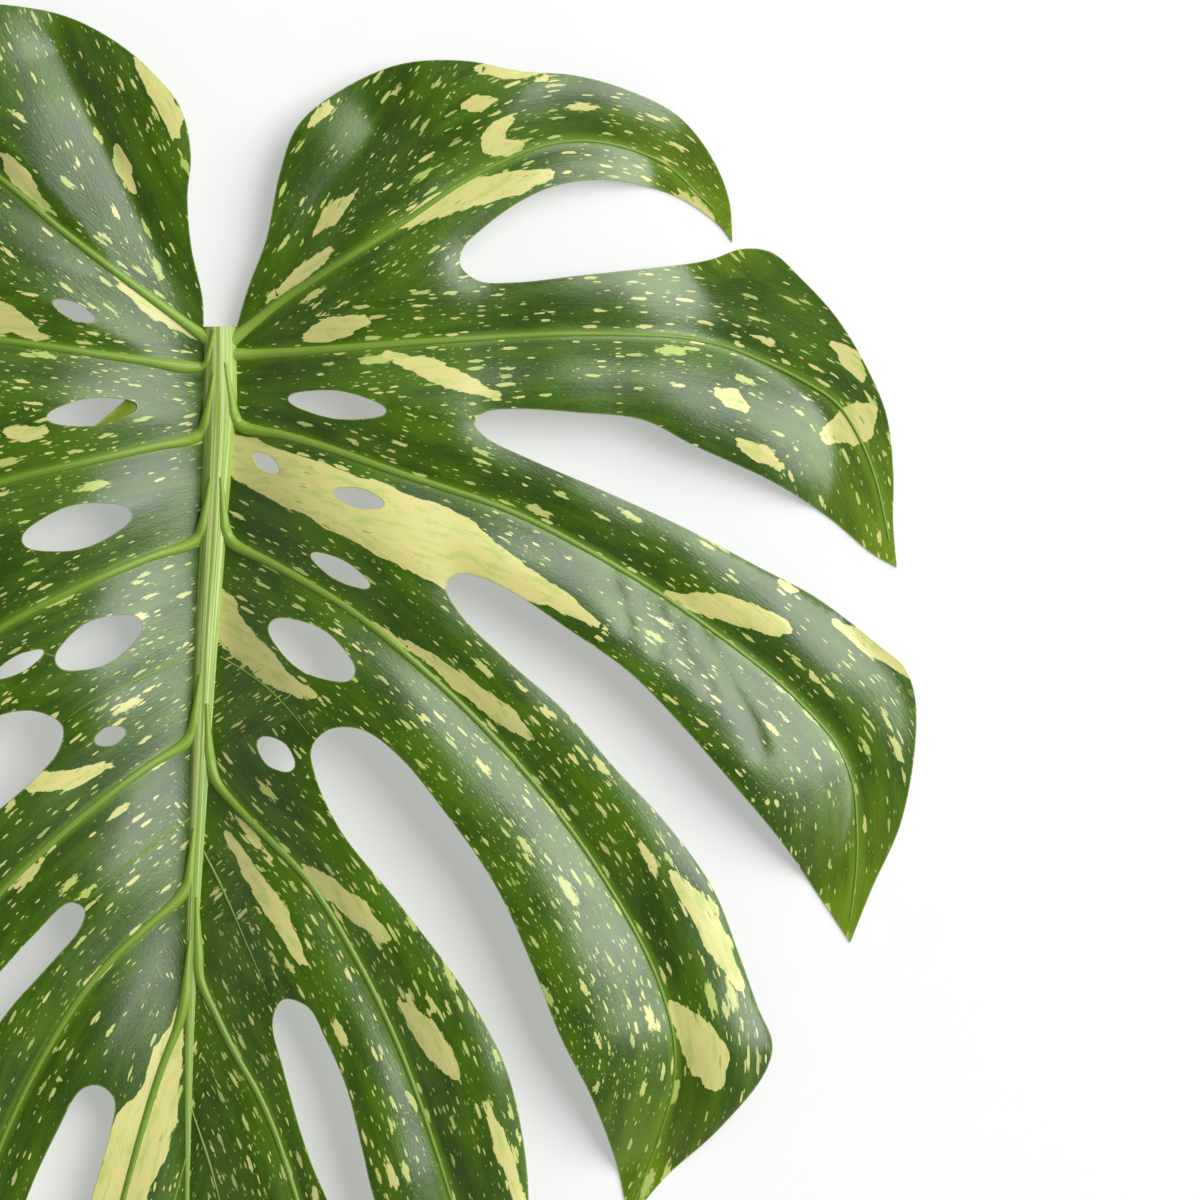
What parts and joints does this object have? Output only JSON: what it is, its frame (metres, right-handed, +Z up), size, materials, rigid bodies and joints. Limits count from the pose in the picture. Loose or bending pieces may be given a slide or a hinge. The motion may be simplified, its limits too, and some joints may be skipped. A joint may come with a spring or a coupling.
{
  "type": "monstera leaf",
  "caption": "Picked variegated monstera leaf lying flat: deeply slit heart-shaped blade with windows between its veins, and a tapering midrib cut off at the blade.",
  "frame": {"origin": "on the surface the leaf lies on, under the middle of its footprint", "axes": "+Z up out of the upper side of the blade, -Y along the midrib towards the leaf's tip, +X across the right half of the blade"},
  "size_m": [0.3982, 0.439, 0.0209],
  "materials": {
    "leaf": "satin leaf skin, deep green with cream flecks and patches"
  },
  "bodies": {
    "root": {"leaf": "leaf"}
  },
  "joints": []
}
